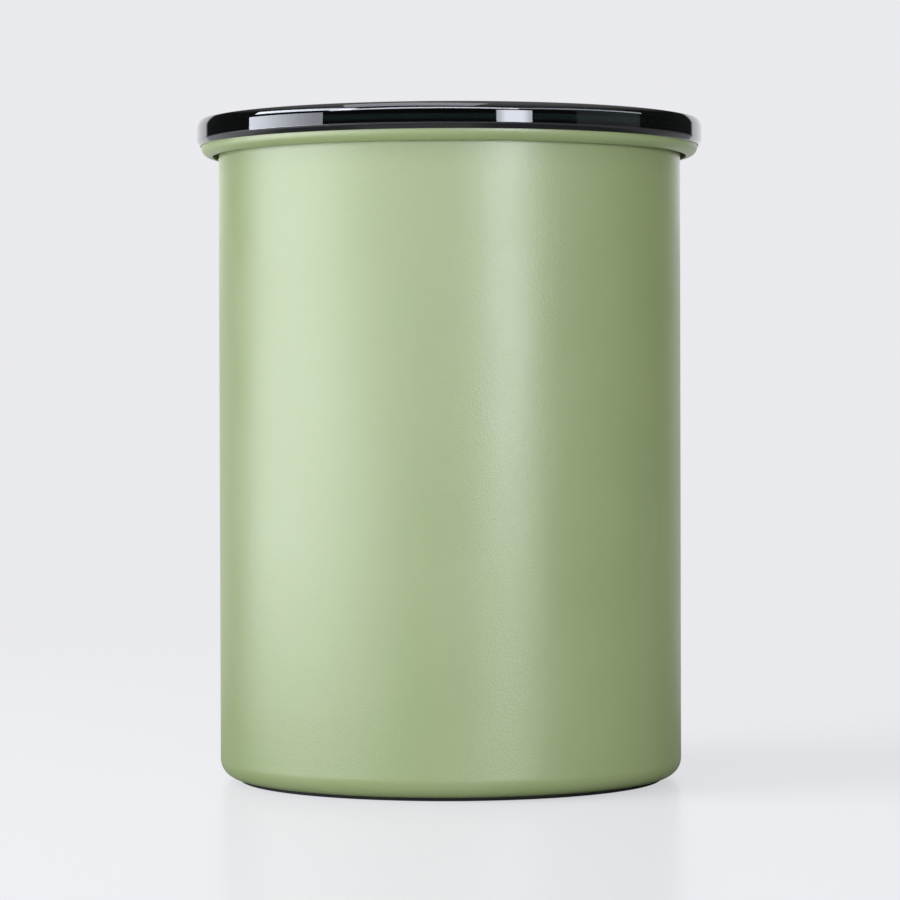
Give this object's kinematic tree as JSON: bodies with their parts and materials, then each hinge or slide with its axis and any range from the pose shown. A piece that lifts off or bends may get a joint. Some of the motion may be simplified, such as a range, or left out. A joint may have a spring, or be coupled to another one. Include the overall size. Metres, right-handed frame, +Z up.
{
  "type": "coffee canister with valve",
  "caption": "Painted steel coffee canister with a rolled rim, a tinted press-on lid, and a push-down inner lid whose folding handle opens an air valve.",
  "frame": {"origin": "middle of the base ring's underside, where the canister stands", "axes": "+Z up along the canister's axis; the inner lid's handle folds towards -Y, the pictured front"},
  "size_m": [0.1368, 0.1368, 0.1782],
  "materials": {
    "sage_paint": "matte powder coat outside, bare brushed steel inside",
    "black_rubber": "matte",
    "smoke_plastic": "polished, dark smoke tint",
    "silicone": "frosted silicone",
    "black_plastic": "fine moulded texture",
    "bright_steel": "bright stainless"
  },
  "bodies": {
    "canister": {"canister_shell": "sage_paint", "base_ring": "black_rubber"},
    "outer_lid": {"outer_lid": "smoke_plastic", "lid_gasket": "silicone"},
    "inner_lid": {"pressure_pan": "black_plastic", "under_plate": "black_plastic", "wiper_seal": "silicone", "plate_screws": "bright_steel", "valve_housing": "black_plastic", "housing_ring": "silicone", "housing_nut": "black_plastic", "valve_grille": "bright_steel", "valve_spring": "bright_steel"},
    "handle": {"lid_handle": "black_plastic", "hinge_pins": "bright_steel"},
    "valve": {"valve_poppet": "black_plastic", "valve_washer": "silicone", "valve_button": "black_plastic", "button_screw": "bright_steel"}
  },
  "joints": [
    {"name": "outer_lid_lift", "type": "slide", "parent": "canister", "child": "outer_lid", "axis": [0, 0, 1], "range_m": [0, 0.1]},
    {"name": "inner_lid_press", "type": "slide", "parent": "canister", "child": "inner_lid", "axis": [0, 0, -1], "range_m": [0, 0.1054]},
    {"name": "handle_fold", "type": "hinge", "parent": "inner_lid", "child": "handle", "pos_m": [0, 0, 0.1288], "axis": [-1, 0, 0], "range_deg": [0, 90]},
    {"name": "valve_press", "type": "slide", "parent": "inner_lid", "child": "valve", "axis": [0, 0, -1], "range_m": [0, 0.002], "deforming": ["valve_spring"]}
  ],
  "couplings": [
    {"joint": "valve_press", "follows": "handle_fold", "m_per_rad": 0.0012732}
  ]
}
